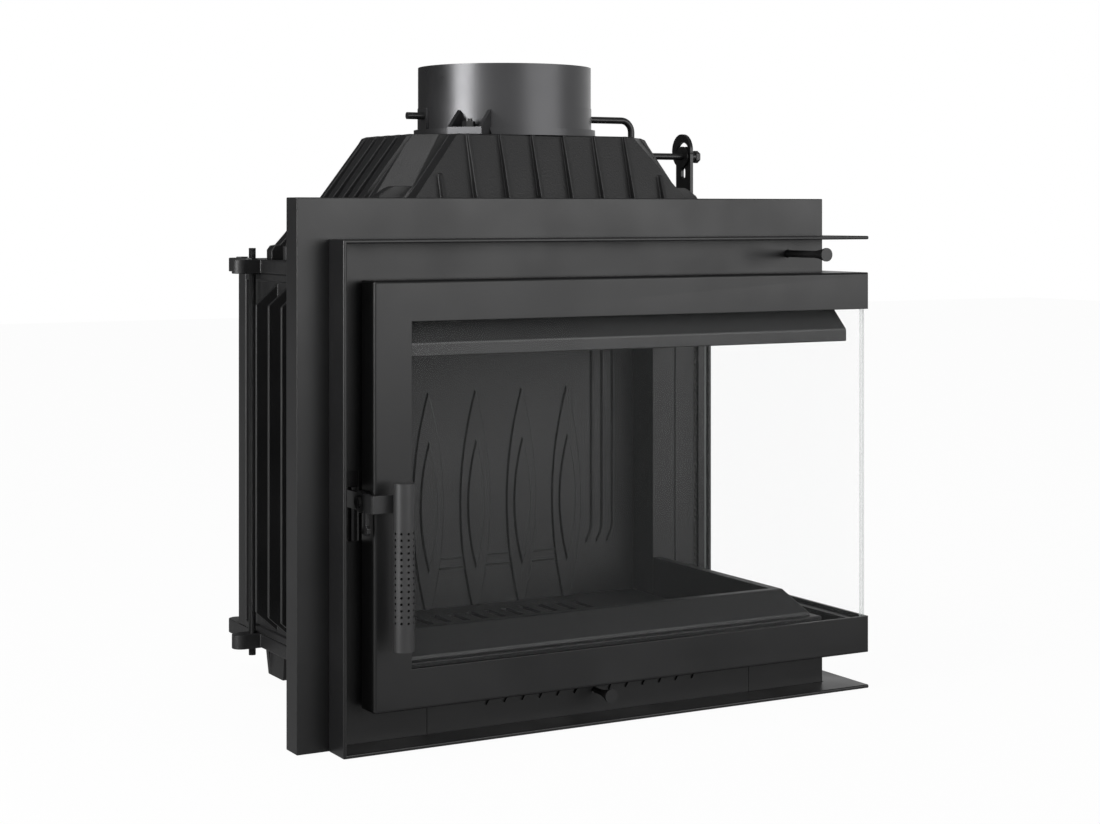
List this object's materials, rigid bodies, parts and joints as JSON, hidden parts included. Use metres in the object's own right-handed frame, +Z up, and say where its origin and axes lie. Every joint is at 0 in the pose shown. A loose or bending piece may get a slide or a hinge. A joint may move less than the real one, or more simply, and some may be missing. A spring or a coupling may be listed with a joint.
{
  "type": "fireplace insert",
  "caption": "Cast-iron fireplace insert with a corner-glazed hinged door, perforated lift handle, finned smoke dome, flue spigot and pull-rod damper.",
  "frame": {"origin": "on the flue axis at floor level, in the middle of the mouth of the air inlet under the ash box", "axes": "+Z up along the flue axis, +Y from the glazed front towards the back wall, +X to the right along the front, towards the glazed side"},
  "size_m": [0.684, 0.494, 0.707],
  "materials": {
    "frame_paint": "satin",
    "cast_iron": "rough",
    "dark_steel": "satin",
    "flue_steel": "satin",
    "grip_steel": "brushed",
    "rope_seal": "matte",
    "ceramic_glass": "gloss"
  },
  "bodies": {
    "casing": {"cover_frame": "frame_paint", "trim_frame": "frame_paint", "lower_panel": "frame_paint", "front_casting": "cast_iron", "base_plate": "cast_iron", "left_wall": "cast_iron", "back_wall": "cast_iron", "rear_column": "cast_iron", "top_plate": "cast_iron", "legs": "cast_iron", "tie_rods": "dark_steel", "tie_rod_nuts": "dark_steel", "smoke_dome": "cast_iron", "dome_bolts": "dark_steel", "flue_spigot": "flue_steel", "flue_bolts": "dark_steel", "smoke_baffle": "cast_iron", "baffle_ledges": "cast_iron", "glass_wash_strip": "frame_paint", "log_retainer": "cast_iron", "grate": "cast_iron", "ash_box": "dark_steel", "ash_box_floor": "dark_steel", "ash_pan": "dark_steel", "air_inlet": "dark_steel", "air_rod_guide": "dark_steel", "pull_rod_guide": "dark_steel", "latch_catch": "dark_steel", "hinge_brackets": "dark_steel", "hinge_pins": "dark_steel"},
    "door": {"door_frame": "frame_paint", "front_glass": "ceramic_glass", "side_glass": "ceramic_glass", "glass_retainer": "frame_paint", "door_seal": "rope_seal", "hinge_knuckles": "dark_steel", "latch_boss": "frame_paint", "latch_pin": "dark_steel"},
    "handle": {"latch_hook": "dark_steel", "handle_strap": "dark_steel", "handle_grip": "grip_steel", "grip_caps": "grip_steel"},
    "damper_pull": {"pull_bracket": "dark_steel", "pull_rod": "dark_steel", "pull_rod_nut": "dark_steel", "pull_knob": "frame_paint"},
    "damper": {"damper_plate": "dark_steel", "damper_shaft": "dark_steel", "damper_screws": "dark_steel", "crank_washer": "dark_steel", "crank_nut": "dark_steel"},
    "air_control": {"air_valve": "dark_steel", "air_rod": "dark_steel", "air_knob": "frame_paint"}
  },
  "joints": [
    {"name": "door_hinge", "type": "hinge", "parent": "casing", "child": "door", "pos_m": [0.324, 0.113, 0.2565], "axis": [0, 0, 1], "range_deg": [0, 90]},
    {"name": "handle_pivot", "type": "hinge", "parent": "door", "child": "handle", "pos_m": [-0.285, -0.23, 0.252], "axis": [-1, 0, 0], "range_deg": [0, 30]},
    {"name": "damper_slide", "type": "slide", "parent": "casing", "child": "damper_pull", "axis": [0, -1, 0], "range_m": [-0.03, 0.03]},
    {"name": "damper_turn", "type": "hinge", "parent": "casing", "child": "damper", "pos_m": [0, 0, 0.65], "axis": [-1, 0, 0], "range_deg": [-45.5, 45.5]},
    {"name": "air_slide", "type": "slide", "parent": "casing", "child": "air_control", "axis": [0, -1, 0], "range_m": [0, 0.03]}
  ],
  "couplings": [
    {"joint": "damper_turn", "follows": "damper_slide", "rad_per_m": 26.2}
  ]
}
